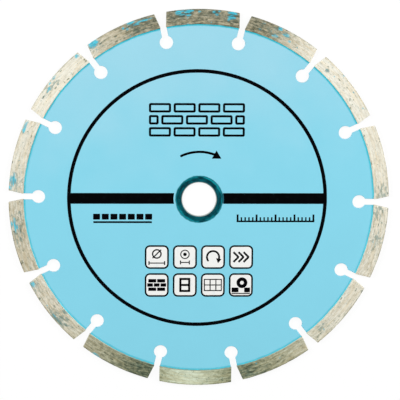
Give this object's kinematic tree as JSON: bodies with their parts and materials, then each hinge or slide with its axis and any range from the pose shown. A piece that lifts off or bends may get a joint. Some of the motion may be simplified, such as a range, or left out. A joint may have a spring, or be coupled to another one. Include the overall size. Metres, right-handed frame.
{
  "type": "diamond blade",
  "caption": "Flat round cutting blade: a painted steel core with keyhole slots, abrasive segments welded round its rim, and a push-in ring that reduces the arbor hole.",
  "frame": {"origin": "centre of the arbor hole, halfway through the thickness of the core", "axes": "+Z along the arbor axis, out of the printed face; +X along the middle of a slot; +Y through the middle of a segment"},
  "size_m": [0.18, 0.18, 0.0024],
  "materials": {
    "core_paint": "satin paint",
    "seam_paint": "gloss paint",
    "segment_metal": "ground sintered metal with diamond grit",
    "ring_lacquer": "thin lacquer"
  },
  "bodies": {
    "blade": {"steel_core": "core_paint", "segment_01": "segment_metal", "segment_02": "segment_metal", "segment_03": "segment_metal", "segment_04": "segment_metal", "segment_05": "segment_metal", "segment_06": "segment_metal", "segment_07": "segment_metal", "segment_08": "segment_metal", "segment_09": "segment_metal", "segment_10": "segment_metal", "segment_11": "segment_metal", "segment_12": "segment_metal", "segment_13": "segment_metal", "segment_14": "segment_metal", "weld_seam_01": "seam_paint", "weld_seam_02": "seam_paint", "weld_seam_03": "seam_paint", "weld_seam_04": "seam_paint", "weld_seam_05": "seam_paint", "weld_seam_06": "seam_paint", "weld_seam_07": "seam_paint", "weld_seam_08": "seam_paint", "weld_seam_09": "seam_paint", "weld_seam_10": "seam_paint", "weld_seam_11": "seam_paint", "weld_seam_12": "seam_paint", "weld_seam_13": "seam_paint", "weld_seam_14": "seam_paint"},
    "ring": {"reducing_ring": "ring_lacquer"}
  },
  "joints": [
    {"name": "ring_slide", "type": "slide", "parent": "blade", "child": "ring", "axis": [0, 0, 1], "range_m": [0, 0.012]}
  ]
}
